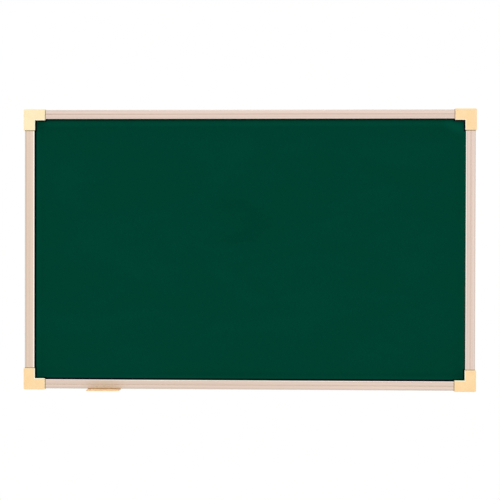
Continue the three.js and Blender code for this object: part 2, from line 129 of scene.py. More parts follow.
# The rounded outer edge in painted shade, and painted shade along the seams beside the caps' raised ends,
# from just off the cap to just under it
OUTER_EDGE_SHADE = "#d0c3b9"
SEAM_SHADE = "#a98f70"
SEAM = (-1.3, 0.2)

# Warm reflected light and shade from the ledge, painted on the bottom rail above it: the middle and the half
# sizes
LEDGE_REFLECTION_TINT = "#d1bea8"
LEDGE_REFLECTION_PLACE = (-258.0, -14.0, -482.0)
LEDGE_REFLECTION_SIZE = (46.0, 60.0, 15.0)

# Plastics: the deeper and the paler tone of the skin, and the painted highlight on the caps' inner bevel and
# arm ends.
# The top left cap has a paler tone, and the ledge a warmer one. Chalk dust lies on the ledge, and painted
# shade on the caps' walls beside the panel.
CREAM = ("#f7d096", "#feddab")
CREAM_HIGHLIGHT = "#fffbdc"
PALE_CREAM = ("#f9e2b0", "#feedc4")
PALE_CREAM_HIGHLIGHT = "#fffddd"
ORANGE_CREAM = ("#f8c98f", "#fed9a4")
CHALK_DUST = "#f6f1e6"
CAP_WALL_SHADE = "#544a3b"
ABS_IOR = 1.53

# The darker and the lighter tone of the other materials
PRESSED_FIBRE = ("#a68c66", "#c7b08c")
GALVANISED = ("#a9aeb2", "#c6c9cb")
BRIGHT_ZINC = ("#b7bcc1", "#d2d5d6")
PALE_FLOOR = ("#f6f6f5", "#fafaf9")

# The chalk coating: its cleaner and its chalkier tone, where it is wiped clean, and its painted shade along
# the frame
COATING = ("#003c2c", "#003e2f")
COATING_WIPED = "#003a2b"
COATING_EDGE_SHADE = "#01141a"

# The strip of painted shade along the frame, from before the frame's edge to behind it. Its border is
# shifted, so that it is narrower beside the right rail and the top rail.
EDGE_SHADE_SPAN = (-1.2, 5.0)
EDGE_SHADE_SHIFT = (0.8, 0.0, 0.5)

# Painted light along the frame, a chalky green that offsets the shade of the frame's recess: where it begins
# before the rails and where it is strongest, how much of it lies beside the upright rails and beside the
# level ones, and how far its border is shifted
FRAME_FILL_LIGHT = "#045b45"
FRAME_FILL_REACH = (-11.0, -1.0)
FRAME_FILL_MOST = (0.25, 0.45)
FRAME_FILL_SHIFT = (1.0, 0.0, -2.5)

# Chalk in the panel's top right corner, where dusters turn back, painted together with light that offsets the
# corner's shade: how far it spreads
CORNER_CHALK_AND_FILL = "#045947"
CORNER_CHALK_AND_FILL_SIZE = (46.0, 46.0, 32.0)

# Chalk that stays between the points of the coating's tooth
TOOTH_CHALK = "#1e8268"

# The arc that a damp duster wiped clean, left of the middle: the middle of its ellipse, the half sizes, and
# in parts of these its inner and outer edges, the span over which it fades in, and how far it is frayed
WIPED_ARC_PLACE = (-45.0, 0.0, -190.0)
WIPED_ARC_SIZE = (65.0, 65.0, 33.0)
WIPED_ARC_EDGES = (0.6, 1.3)
WIPED_ARC_START = (-0.5, 0.1)
WIPED_ARC_FRAY = 0.6

# How far a sharp edge is broken by the saw, the brake or the mould, and the angle from which it is sharp
METAL_EDGE = 0.12
PLASTIC_EDGE = 0.3
SHARP_ANGLE = 30.0

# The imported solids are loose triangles: the gap over which their corners join, and the angle up to
# which neighbouring triangles are one flat face
JOINING_GAP = 0.001
FLAT_ANGLE = 0.5

# Screws: countersunk tapping screws, 2.9 mm over the thread
SCREW_HEAD_RADIUS = 3.0
SCREW_HEAD_RIM = 0.12
SCREW_ROOT_RADIUS = 1.05
SCREW_LENGTH = 9.5
SCREW_TIP = 1.3
SCREW_TIP_RADIUS = 0.12
SCREW_SIDES = 32
SCREW_SEED = 7
SCREW_SIZES = {
    "Length": SCREW_LENGTH,
    "Root Radius": SCREW_ROOT_RADIUS,
    "Tip Length": SCREW_TIP,
    "Tip Radius": SCREW_TIP_RADIUS,
    "Thread Start": 2.4,
    "Thread Pitch": 1.1,
    "Thread Ridge": 0.4,
    "Recess Span": 3.2,
    "Recess Width": 0.8,
    "Recess Depth": 1.2,
}

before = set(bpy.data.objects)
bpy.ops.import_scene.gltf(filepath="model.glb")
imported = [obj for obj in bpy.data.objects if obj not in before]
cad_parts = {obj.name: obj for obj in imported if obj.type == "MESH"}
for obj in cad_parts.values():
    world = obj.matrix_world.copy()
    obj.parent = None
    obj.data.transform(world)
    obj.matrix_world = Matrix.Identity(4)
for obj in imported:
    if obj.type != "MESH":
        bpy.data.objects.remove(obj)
cad_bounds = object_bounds()

# The rectangle over the rails, seen from the front
BOARD_LOW = Vector((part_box("left_rail")[0].x, 0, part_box("bottom_rail")[0].z)) / MM
BOARD_HIGH = Vector((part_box("right_rail")[1].x, 0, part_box("top_rail")[1].z)) / MM
BOARD_MIDDLE = (BOARD_LOW + BOARD_HIGH) / 2
BOARD_HALF = (BOARD_HIGH - BOARD_LOW) / 2
PANEL_CORNER = BOARD_HIGH - Vector((RAIL_FACE, 0, RAIL_FACE))


# Colours and nodes


def linear(hex_colour):
    """An sRGB hex colour as linear RGBA."""
    def channel(value):
        return value / 12.92 if value <= 0.04045 else ((value + 0.055) / 1.055) ** 2.4

    parts = (int(hex_colour[start:start + 2], 16) / 255 for start in (1, 3, 5))
    return (*(channel(part) for part in parts), 1.0)


def per_mm(*sizes):
    """The mapping scale at which one unit of a pattern is that many millimetres, along X, Y and Z."""
    return tuple(1 / (size * MM) for size in sizes)


def centred_at(middle, sizes):
    """The mapping location that goes with a scale of these sizes and puts a pattern's zero at a place."""
    return tuple(-part / size for part, size in zip(middle, sizes))


def add(tree, kind, inputs=None, **settings):
    """Adds a node with its settings, and sets or links its inputs, each by its name or number.

    A list links several sockets to one input. Sockets that share a name go by number. A Mix node's input 0
    is the share of the second of two values, which are inputs 2 and 3 for numbers, and 6 and 7 for colours.
    Its mixed colour is output 2.
    """
    node = tree.nodes.new(kind)
    for name, value in settings.items():
        setattr(node, name, value)
    for key, value in (inputs or {}).items():
        socket = node.inputs[key]
        sources = value if isinstance(value, list) else [value]
        for source in sources:
            if isinstance(source, bpy.types.NodeSocket):
                tree.links.new(source, socket)
            else:
                socket.default_value = source
    return node


def started_material(name):
    """A new material with an empty tree, and the socket of its object coordinates."""
    material = bpy.data.materials.new(name)
    material.use_nodes = True
    tree = material.node_tree
    tree.nodes.clear()
    place = add(tree, "ShaderNodeTexCoord").outputs["Object"]
    return material, tree, place


def finished_material(material, tree, inputs):
    """Puts a Principled shader with these inputs on the material's output."""
    shader = add(tree, "ShaderNodeBsdfPrincipled", inputs)
    add(tree, "ShaderNodeOutputMaterial", {"Surface": shader.outputs[0]})
    return material


# Patterns that follow the board's edges


def past_rectangle(tree, place, border, shift=(0.0, 0.0, 0.0)):
    """How far a point lies past a rectangle that is set in from the rails' outer edges, in millimetres.

    The rectangle may be shifted. It gives the distance along X and the one along Z.
    """
    centred = add(tree, "ShaderNodeMapping", {
        "Vector": place, "Location": -BOARD_MIDDLE - Vector(shift), "Scale": per_mm(1, 1, 1),
    })
    offset = add(tree, "ShaderNodeVectorMath", {0: centred.outputs[0]}, operation="ABSOLUTE")
    past = add(tree, "ShaderNodeVectorMath", {
        0: offset.outputs[0], 1: BOARD_HALF - Vector((border, 0, border)),
    }, operation="SUBTRACT")
    parts = add(tree, "ShaderNodeSeparateXYZ", {0: past.outputs[0]})
    return parts.outputs["X"], parts.outputs["Z"]


def past_inner_edge(tree, place, border, shift=(0.0, 0.0, 0.0)):
    """How far a point lies past the inner edge of a border around the board, in millimetres."""
    past_x, past_z = past_rectangle(tree, place, border, shift)
    return add(tree, "ShaderNodeMath", {0: past_x, 1: past_z}, operation="MAXIMUM").outputs[0]


def band(tree, distance, start, end, blur=0.15):
    """1 between two distances and 0 outside them, over soft edges."""
    half = (end - start) / 2
    away = add(tree, "ShaderNodeMath", {0: distance, 1: start + half}, operation="SUBTRACT")
    size = add(tree, "ShaderNodeMath", {0: away.outputs[0]}, operation="ABSOLUTE")
    return add(tree, "ShaderNodeMapRange", {
        "Value": size.outputs[0], "From Min": half + blur, "From Max": half - blur,
    }).outputs[0]


def band_at_arm_ends(tree, place, start, end):
    """A band beside the ends of the caps' arms: below zero on the rail, above zero on the cap."""
    past_x, past_z = past_rectangle(tree, place, CAP_ARM)
    return add(tree, "ShaderNodeMath", {
        0: band(tree, past_x, start, end), 1: band(tree, past_z, start, end),
    }, operation="MAXIMUM").outputs[0]


def soft_spot(tree, place, middle, half_sizes):
    """1 at a place, and falls to 0 at an ellipsoid around it."""
    centred = add(tree, "ShaderNodeMapping", {
        "Vector": place, "Location": centred_at(middle, half_sizes), "Scale": per_mm(*half_sizes),
    })
    spot = add(tree, "ShaderNodeTexGradient", {
        "Vector": centred.outputs[0],
    }, gradient_type="SPHERICAL")
    return spot.outputs["Fac"]


def in_front(tree, place, depth, mask):
    """A mask in front of a depth, and 0 behind it."""
    parts = add(tree, "ShaderNodeSeparateXYZ", {0: place})
    near = add(tree, "ShaderNodeMath", {0: parts.outputs["Y"], 1: depth * MM}, operation="LESS_THAN")
    return add(tree, "ShaderNodeMath", {0: near.outputs[0], 1: mask}, operation="MULTIPLY").outputs[0]


# Aluminium


def die_lines(tree, place, line_sizes, band_sizes):
    """The hair lines and the soft bands that an extrusion die draws along the whole rail.

    The real lines are a few hundredths of a millimetre wide, and are drawn coarser so that they show.
    """
    lines_place = add(tree, "ShaderNodeMapping", {"Vector": place, "Scale": per_mm(*line_sizes)})
    lines = add(tree, "ShaderNodeTexNoise", {
        "Vector": lines_place.outputs[0], "Scale": 1.0, "Detail": 3.0,
    })
    bands_place = add(tree, "ShaderNodeMapping", {"Vector": place, "Scale": per_mm(*band_sizes)})
    bands = add(tree, "ShaderNodeTexNoise", {
        "Vector": bands_place.outputs[0], "Scale": 1.0, "Detail": 1.0,
    })
    return lines.outputs[0], bands.outputs[0]


def anodised_aluminium(name, finish):
    """Champagne-anodised aluminium, extruded and satin etched, but smooth on its inner chamfer and wall.

    The die's lines make the metal shine in soft lengthwise bands. Light and shade are painted on: the rounded
    outer edge greyer, the groove, the seams beside the caps and the wall down to the panel darker, the wall
    also as a reflection of the dark panel, the chamfer and the rim beside it lighter or darker by the side
    that the rail faces, and the bottom rail warmer above the ledge, as the ledge's reflected light and shade.
    """
    material, tree, place = started_material(name)
    lines, bands = die_lines(tree, place, *finish["lines"])
    streaks = add(tree, "ShaderNodeMix", {0: 0.6, 2: bands, 3: lines}, data_type="FLOAT")
    spread = add(tree, "ShaderNodeMapRange", {
        "Value": streaks.outputs[0], "From Min": 0.35, "From Max": 0.65,
    })
    dark_satin, light_satin = finish["satin"]
    colour = add(tree, "ShaderNodeMix", {
        0: spread.outputs[0], 6: linear(dark_satin), 7: linear(light_satin),
    }, data_type="RGBA")

    # Where the colours change, across the rail and then along it
    from_outside = past_inner_edge(tree, place, 0.0)
    from_panel = past_inner_edge(tree, place, RAIL_FACE)
    # The rounded outer edge, painted greyer as shade
    outer_edge = band(tree, from_outside, -RAIL_OUTER_EDGE, 0.3, blur=0.6)
    # The groove, painted darker as shade
    groove = band(tree, from_outside, -RAIL_GROOVE[1], -RAIL_GROOVE[0])
    # The rim beside the chamfer, painted lighter or darker by the side the rail faces
    rim = band(tree, from_panel, RAIL_CHAMFER, RAIL_CHAMFER + 1.0, blur=0.4)
    # The chamfer, a painted highlight
    chamfer = in_front(tree, place, FACE_DEPTH, band(tree, from_panel, 0.1, RAIL_CHAMFER + 0.1))
    # Painted shade and reflection of the panel on the wall, reaching a little over its edge
    painted_wall_shade = band(tree, from_panel, -0.3, finish["reach"], blur=0.05)
    wall = in_front(tree, place, PANEL_FRONT, painted_wall_shade)
    # Painted shade on the rail beside the caps' raised arm ends
    seam = band_at_arm_ends(tree, place, *SEAM)
    layers = (
        (in_front(tree, place, FACE_DEPTH, outer_edge), OUTER_EDGE_SHADE),
        (in_front(tree, place, FACE_DEPTH, groove), finish["groove"]),
        (in_front(tree, place, FACE_DEPTH, rim), finish["rim"]),
        # Warm reflected light and shade from the ledge, painted on the bottom rail above it
        (soft_spot(tree, place, LEDGE_REFLECTION_PLACE, LEDGE_REFLECTION_SIZE), LEDGE_REFLECTION_TINT),
        (chamfer, finish["chamfer"]),
        (wall, finish["wall"]),
        (in_front(tree, place, RAIL_REAR, seam), SEAM_SHADE),
    )
    for where, shade in layers:
        colour = add(tree, "ShaderNodeMix", {
            0: where, 6: colour.outputs[2], 7: linear(shade),
        }, data_type="RGBA")

    satin_roughness = add(tree, "ShaderNodeMapRange", {
        "Value": lines, "From Min": 0.3, "From Max": 0.7, "To Min": 0.38, "To Max": 0.52,
    })
    smooth = add(tree, "ShaderNodeMath", {0: chamfer, 1: wall}, operation="MAXIMUM")
    roughness = add(tree, "ShaderNodeMix", {
        0: smooth.outputs[0], 2: satin_roughness.outputs[0], 3: 0.12,
    }, data_type="FLOAT")
    bump = add(tree, "ShaderNodeBump", {"Height": lines, "Strength": 0.5, "Distance": 0.06 * MM})
    return finished_material(material, tree, {
        "Base Color": colour.outputs[2], "Metallic": 1.0, "Roughness": roughness.outputs[0],
        "Normal": bump.outputs[0],
    })


# Plastics


def spark_eroded_grain(tree, place):
    """The fine grain that a spark-eroded mould leaves on plastic: its height, roughness and bumps.

    The real grain is about 0.2 mm, and is drawn coarser so that it shows.
    """
    grain_place = add(tree, "ShaderNodeMapping", {"Vector": place, "Scale": per_mm(*MOULD_GRAIN)})
    grain = add(tree, "ShaderNodeTexNoise", {
        "Vector": grain_place.outputs[0], "Scale": 1.0, "Detail": 2.0,
    })
    roughness = add(tree, "ShaderNodeMapRange", {
        "Value": grain.outputs[0], "From Min": 0.3, "From Max": 0.7, "To Min": 0.4, "To Max": 0.56,
    })
    bump = add(tree, "ShaderNodeBump", {
        "Height": grain.outputs[0], "Strength": 0.6, "Distance": 0.12 * MM,
    })
    return grain.outputs[0], roughness.outputs[0], bump.outputs[0]


def moulded_skin(tree, place, cloud_sizes, grain, tones):
    """The plastic's colour: faint clouds from the melt, with the grain's pits painted a little deeper in tone
    as shade.
    """
    cloud_place = add(tree, "ShaderNodeMapping", {"Vector": place, "Scale": per_mm(*cloud_sizes)})
    cloud = add(tree, "ShaderNodeTexNoise", {
        "Vector": cloud_place.outputs[0], "Scale": 1.0, "Detail": 4.0,
    })
    tone = add(tree, "ShaderNodeMix", {0: 0.6, 2: cloud.outputs[0], 3: grain}, data_type="FLOAT")
    spread = add(tree, "ShaderNodeMapRange", {
        "Value": tone.outputs[0], "From Min": 0.35, "From Max": 0.65,
    })
    deep, pale = tones
    skin = add(tree, "ShaderNodeMix", {
        0: spread.outputs[0], 6: linear(deep), 7: linear(pale),
    }, data_type="RGBA")
    return skin.outputs[2]


def moulded_cap_plastic(name, tones, highlight):
    """Injection-moulded ABS with a fine spark-eroded texture: a satin skin, faintly clouded.

    The bevel beside the panel and the arms' ends carry a painted highlight, and the wall below that bevel is
    painted dark as shade.
    """
    material, tree, place = started_material(name)
    grain, roughness, bumps = spark_eroded_grain(tree, place)
    skin = moulded_skin(tree, place, CAP_CLOUDS, grain, tones)
    from_panel = past_inner_edge(tree, place, RAIL_FACE + CAP_PROUD)
    inner_bevel = band(tree, from_panel, -0.1, CAP_BEVEL + 0.4)
    arm_ends = band_at_arm_ends(tree, place, -0.1, CAP_BEVEL + 0.1)
    faint_ends = add(tree, "ShaderNodeMath", {0: arm_ends, 1: 0.35}, operation="MULTIPLY")
    edges = add(tree, "ShaderNodeMath", {0: inner_bevel, 1: faint_ends.outputs[0]}, operation="MAXIMUM")
    # A painted highlight on the inner bevel and, fainter, on the arms' ends
    highlit_edges = add(tree, "ShaderNodeMix", {
        0: in_front(tree, place, RAIL_FRONT - CAP_PROUD + CAP_BEVEL + 0.1, edges.outputs[0]),
        6: skin, 7: linear(highlight),
    }, data_type="RGBA")
    # The wall below the bevel, painted dark as shade
    wall = band(tree, from_panel, -0.3, 0.1, blur=0.05)
    shaded_wall_colour = add(tree, "ShaderNodeMix", {
        0: in_front(tree, place, PANEL_FRONT, wall), 6: highlit_edges.outputs[2], 7: linear(CAP_WALL_SHADE),
    }, data_type="RGBA")
    return finished_material(material, tree, {
        "Base Color": shaded_wall_colour.outputs[2], "Roughness": roughness, "IOR": ABS_IOR, "Normal": bumps,
    })


def moulded_ledge_plastic():
    """The same ABS in a warmer tone, with a little chalk dust lying on what faces up."""
    material, tree, place = started_material("orange_cream_abs")
    grain, moulded_roughness, bumps = spark_eroded_grain(tree, place)
    skin = moulded_skin(tree, place, LEDGE_CLOUDS, grain, ORANGE_CREAM)
    dust_place = add(tree, "ShaderNodeMapping", {"Vector": place, "Scale": per_mm(*LEDGE_DUST)})
    dust = add(tree, "ShaderNodeTexNoise", {
        "Vector": dust_place.outputs[0], "Scale": 1.0, "Detail": 5.0,
    })
    speckle = add(tree, "ShaderNodeMapRange", {
        "Value": dust.outputs[0], "From Min": 0.45, "From Max": 0.75, "To Max": 0.45,
    })
    surface = add(tree, "ShaderNodeNewGeometry")
    facing = add(tree, "ShaderNodeSeparateXYZ", {0: surface.outputs["Normal"]})
    facing_up = add(tree, "ShaderNodeMath", {0: facing.outputs["Z"], 1: 0.8}, operation="GREATER_THAN")
    lying = add(tree, "ShaderNodeMath", {
        0: speckle.outputs[0], 1: facing_up.outputs[0],
    }, operation="MULTIPLY")
    colour = add(tree, "ShaderNodeMix", {
        0: lying.outputs[0], 6: skin, 7: linear(CHALK_DUST),
    }, data_type="RGBA")
    roughness = add(tree, "ShaderNodeMix", {
        0: lying.outputs[0], 2: moulded_roughness, 3: 0.95,
    }, data_type="FLOAT")
    return finished_material(material, tree, {
        "Base Color": colour.outputs[2], "Roughness": roughness.outputs[0], "IOR": ABS_IOR,
        "Normal": bumps,
    })


# The writing panel


def wiped_arc(tree, place):
    """The arc that a damp duster wiped clean, with frayed edges."""
    centred = add(tree, "ShaderNodeMapping", {
        "Vector": place, "Location": centred_at(WIPED_ARC_PLACE, WIPED_ARC_SIZE),
        "Scale": per_mm(*WIPED_ARC_SIZE),
    })
    flat = add(tree, "ShaderNodeVectorMath", {
        0: centred.outputs[0], 1: (1.0, 0.0, 1.0),
    }, operation="MULTIPLY")
    frays = add(tree, "ShaderNodeTexNoise", {"Vector": flat.outputs[0], "Scale": 3.0, "Detail": 3.0})
    frayed = add(tree, "ShaderNodeVectorMath", {
        0: frays.outputs["Color"], 1: (2 * WIPED_ARC_FRAY, 0.0, 2 * WIPED_ARC_FRAY), 2: flat.outputs[0],
    }, operation="MULTIPLY_ADD")
    around = add(tree, "ShaderNodeVectorMath", {
        0: frayed.outputs[0], 1: (WIPED_ARC_FRAY, 0.0, WIPED_ARC_FRAY),
    }, operation="SUBTRACT")
    reach = add(tree, "ShaderNodeVectorMath", {0: around.outputs[0]}, operation="LENGTH")
    across = add(tree, "ShaderNodeSeparateXYZ", {0: around.outputs[0]})
    begun = add(tree, "ShaderNodeMapRange", {
        "Value": across.outputs["X"], "From Min": WIPED_ARC_START[0], "From Max": WIPED_ARC_START[1],
    })
    return add(tree, "ShaderNodeMath", {
        0: band(tree, reach.outputs["Value"], *WIPED_ARC_EDGES), 1: begun.outputs[0],
    }, operation="MULTIPLY").outputs[0]


def painted_fill_near_frame(tree, place):
    """How much painted light lies on the panel near the frame, offsetting the frame's shade, most in the
    corners.
    """
    beside_rails = [
        add(tree, "ShaderNodeMapRange", {
            "Value": past, "From Min": FRAME_FILL_REACH[0], "From Max": FRAME_FILL_REACH[1], "To Max": most,
        }).outputs[0]
        for past, most in zip(past_rectangle(tree, place, RAIL_FACE, FRAME_FILL_SHIFT), FRAME_FILL_MOST)
    ]
    return add(tree, "ShaderNodeMath", {
        0: beside_rails[0], 1: beside_rails[1],
    }, operation="ADD").outputs[0]


def painted_edge_shade(tree, place):
    """The strip of the panel along the rails and around the caps that is painted dark as shade."""
    from_rails = past_inner_edge(tree, place, RAIL_FACE, EDGE_SHADE_SHIFT)
    along_rails = band(tree, from_rails, *EDGE_SHADE_SPAN, blur=0.4)
    from_caps = past_inner_edge(tree, place, RAIL_FACE + CAP_PROUD)
    along_caps = band(tree, from_caps, *EDGE_SHADE_SPAN, blur=0.3)
    arm_x, arm_z = past_rectangle(tree, place, CAP_ARM)
    past_both_arms = add(tree, "ShaderNodeMath", {0: arm_x, 1: arm_z}, operation="MINIMUM")
    in_corner = add(tree, "ShaderNodeMath", {
        0: past_both_arms.outputs[0], 1: EDGE_SHADE_SPAN[0],
    }, operation="GREATER_THAN")
    around_caps = add(tree, "ShaderNodeMath", {
        0: along_caps, 1: in_corner.outputs[0],
    }, operation="MULTIPLY")
    return add(tree, "ShaderNodeMath", {
        0: along_rails, 1: around_caps.outputs[0],
    }, operation="MAXIMUM").outputs[0]


def chalk_coating():
    """Baked matt lacquer on steel: no gloss, a fine tooth that takes chalk, and a trace of wiped chalk.

    The coating is painted lighter towards the frame, as light that offsets the frame's shade, and most of all
    in the top right corner, where chalk lies as well. The last millimetre along the frame is painted dark as
    shade. A damp duster has left one arc a little cleaner. The tooth is a tenth of a millimetre in the real
    coating, and is drawn coarser so that it shows.
    """
    material, tree, place = started_material("matt_green_chalk_coating")
    wiped_place = add(tree, "ShaderNodeMapping", {"Vector": place, "Scale": per_mm(*CHALK_CLOUDS)})
    wiped = add(tree, "ShaderNodeTexNoise", {
        "Vector": wiped_place.outputs[0], "Scale": 1.0, "Detail": 3.0, "Distortion": 0.8,
    })
    wiped_spread = add(tree, "ShaderNodeMapRange", {
        "Value": wiped.outputs[0], "From Min": 0.35, "From Max": 0.65,
    })
    clean, chalky = COATING
    colour = add(tree, "ShaderNodeMix", {
        0: wiped_spread.outputs[0], 6: linear(clean), 7: linear(chalky),
    }, data_type="RGBA")
    tooth_place = add(tree, "ShaderNodeMapping", {"Vector": place, "Scale": per_mm(*CHALK_TOOTH)})
    tooth = add(tree, "ShaderNodeTexNoise", {
        "Vector": tooth_place.outputs[0], "Scale": 1.0, "Detail": 3.0,
    })
    left_in_tooth = add(tree, "ShaderNodeMapRange", {
        "Value": tooth.outputs[0], "From Min": 0.5, "From Max": 0.8, "To Max": 0.16,
    })
    layers = (
        (wiped_arc(tree, place), COATING_WIPED),
        # Painted light near the frame, offsetting its shade
        (painted_fill_near_frame(tree, place), FRAME_FILL_LIGHT),
        # Chalk in the top right corner, with painted light offsetting the corner's shade
        (soft_spot(tree, place, PANEL_CORNER, CORNER_CHALK_AND_FILL_SIZE), CORNER_CHALK_AND_FILL),
        (left_in_tooth.outputs[0], TOOTH_CHALK),
        # The last millimetre along the frame, painted dark as shade
        (painted_edge_shade(tree, place), COATING_EDGE_SHADE),
    )
    for where, shade in layers:
        colour = add(tree, "ShaderNodeMix", {
            0: where, 6: colour.outputs[2], 7: linear(shade),
        }, data_type="RGBA")
    bump = add(tree, "ShaderNodeBump", {
        "Height": tooth.outputs[0], "Strength": 0.6, "Distance": 0.12 * MM,
    })
    return finished_material(material, tree, {
        "Base Color": colour.outputs[2], "Roughness": 0.9, "Specular IOR Level": 0.0,
        "Normal": bump.outputs[0],
    })


def pressed_fibre():
    """Pressed paper fibre: a dull tan board with matted fibres."""
    material, tree, place = started_material("pressed_fibre_core")
    fibre_place = add(tree, "ShaderNodeMapping", {"Vector": place, "Scale": per_mm(*CORE_FIBRES)})
    fibre = add(tree, "ShaderNodeTexNoise", {
        "Vector": fibre_place.outputs[0], "Scale": 1.0, "Detail": 5.0,
    })
    dark, light = PRESSED_FIBRE
    colour = add(tree, "ShaderNodeMix", {
        0: fibre.outputs[0], 6: linear(dark), 7: linear(light),
    }, data_type="RGBA")
    bump = add(tree, "ShaderNodeBump", {
        "Height": fibre.outputs[0], "Strength": 0.4, "Distance": 0.2 * MM,
    })
    return finished_material(material, tree, {
        "Base Color": colour.outputs[2], "Roughness": 0.95, "Normal": bump.outputs[0],
    })


def galvanised_steel():
    """Hot-dip galvanised sheet: feathered zinc crystals of some millimetres, each of its own brightness."""
    material, tree, place = started_material("galvanised_steel")
    crystal_place = add(tree, "ShaderNodeMapping", {"Vector": place, "Scale": per_mm(*SHEET_CRYSTALS)})
    feathers = add(tree, "ShaderNodeTexNoise", {
        "Vector": crystal_place.outputs[0], "Scale": 5.0, "Detail": 4.0,
    })
    feathered_place = add(tree, "ShaderNodeVectorMath", {
        0: feathers.outputs["Color"], 1: (0.5, 0.5, 0.5), 2: crystal_place.outputs[0],
    }, operation="MULTIPLY_ADD")
    crystals = add(tree, "ShaderNodeTexVoronoi", {"Vector": feathered_place.outputs[0], "Scale": 1.0})
    level = add(tree, "ShaderNodeSeparateColor", {"Color": crystals.outputs["Color"]})
    grown = add(tree, "ShaderNodeMix", {
        0: 0.35, 2: level.outputs[0], 3: feathers.outputs[0],
    }, data_type="FLOAT")
    dark, light = GALVANISED
    colour = add(tree, "ShaderNodeMix", {
        0: grown.outputs[0], 6: linear(dark), 7: linear(light),
    }, data_type="RGBA")
    roughness = add(tree, "ShaderNodeMapRange", {
        "Value": level.outputs[1], "To Min": 0.34, "To Max": 0.5,
    })
    return finished_material(material, tree, {
        "Base Color": colour.outputs[2], "Metallic": 1.0, "Roughness": roughness.outputs[0],
    })


# Fittings


def zinc_plated_steel():
    """Bright zinc on pressed steel: bluish white, smooth and a little clouded."""
    material, tree, place = started_material("zinc_plated_steel")
    cloud_place = add(tree, "ShaderNodeMapping", {"Vector": place, "Scale": per_mm(*PLATING_CLOUDS)})
    cloud = add(tree, "ShaderNodeTexNoise", {
        "Vector": cloud_place.outputs[0], "Scale": 1.0, "Detail": 4.0,
    })
    dark, light = BRIGHT_ZINC
    colour = add(tree, "ShaderNodeMix", {
        0: cloud.outputs[0], 6: linear(dark), 7: linear(light),
    }, data_type="RGBA")
    roughness = add(tree, "ShaderNodeMapRange", {
        "Value": cloud.outputs[0], "To Min": 0.22, "To Max": 0.42,
    })
    return finished_material(material, tree, {
        "Base Color": colour.outputs[2], "Metallic": 1.0, "Roughness": roughness.outputs[0],
    })


# Pieces


def placed(name, shape):
    """A mesh as an object in the scene."""
    piece = bpy.data.objects.new(name, shape)
    bpy.context.scene.collection.objects.link(piece)
    return piece


def mesh_of(name, solid):
    """A bmesh as a mesh."""
    shape = bpy.data.meshes.new(name)
    solid.to_mesh(shape)
    solid.free()
    return shape


def evaluated_copy(piece, name):
    """The piece with its modifiers applied, as a plain mesh object that takes its place."""
    bpy.context.view_layer.update()
    evaluated = piece.evaluated_get(bpy.context.evaluated_depsgraph_get())
    shape = bpy.data.meshes.new_from_object(evaluated)
    shape.name = name
    bpy.data.objects.remove(piece)
    return placed(name, shape)


def edged_copy(node, material, edge):
    """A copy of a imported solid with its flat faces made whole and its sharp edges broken."""
    solid = bmesh.new()
    solid.from_mesh(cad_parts[node].data)
    bmesh.ops.remove_doubles(solid, verts=solid.verts, dist=JOINING_GAP * MM)
    bmesh.ops.dissolve_limit(
        solid, angle_limit=math.radians(FLAT_ANGLE), verts=solid.verts, edges=solid.edges,
    )
    shape = mesh_of(node, solid)
    shape.shade_smooth()
    shape.materials.append(material)
    piece = placed(node, shape)
    bevel = piece.modifiers.new("broken_edges", "BEVEL")
    bevel.width = edge * MM
    bevel.segments = 2
    bevel.limit_method = "ANGLE"
    bevel.angle_limit = math.radians(SHARP_ANGLE)
    flat_faces = piece.modifiers.new("flat_faces", "WEIGHTED_NORMAL")
    flat_faces.weight = 50
    return evaluated_copy(piece, f"{node}_dressed")


def dress(node, body, material, edge):
    """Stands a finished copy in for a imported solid."""
    piece = edged_copy(node, material, edge)
    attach(piece, body)
    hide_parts(node)


def repaint(node, material):
    """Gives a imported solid, whose shape is right as it is, its finish."""
    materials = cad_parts[node].data.materials
    materials.clear()
    materials.append(material)


def screw_blank():
    """A screw without its thread and recess, turned about Z: its head's flat at 0, its point downwards.

    It is as many metres long as the screw has millimetres.
    """
    cone_end = SCREW_ROOT_RADIUS - SCREW_HEAD_RADIUS - SCREW_HEAD_RIM
    outline = (
        (0.0, 0.0),
        (SCREW_HEAD_RADIUS - SCREW_HEAD_RIM, 0.0),
        (SCREW_HEAD_RADIUS, -SCREW_HEAD_RIM),
        (SCREW_ROOT_RADIUS, cone_end),
        (SCREW_ROOT_RADIUS, SCREW_TIP - SCREW_LENGTH),
        (SCREW_TIP_RADIUS, -SCREW_LENGTH + SCREW_TIP_RADIUS / 2),
        (0.0, -SCREW_LENGTH),
    )
    turned = bmesh.new()
    corners = [turned.verts.new((radius, 0.0, height)) for radius, height in outline]
    edges = [turned.edges.new(pair) for pair in zip(corners, corners[1:])]
    bmesh.ops.spin(
        turned, geom=corners + edges, cent=(0, 0, 0), axis=(0, 0, 1), angle=2 * math.pi,
        steps=SCREW_SIDES,
    )
    bmesh.ops.remove_doubles(turned, verts=turned.verts, dist=JOINING_GAP)
    bmesh.ops.recalc_face_normals(turned, faces=turned.faces)
    return placed("screw_blank", mesh_of("screw_blank", turned))


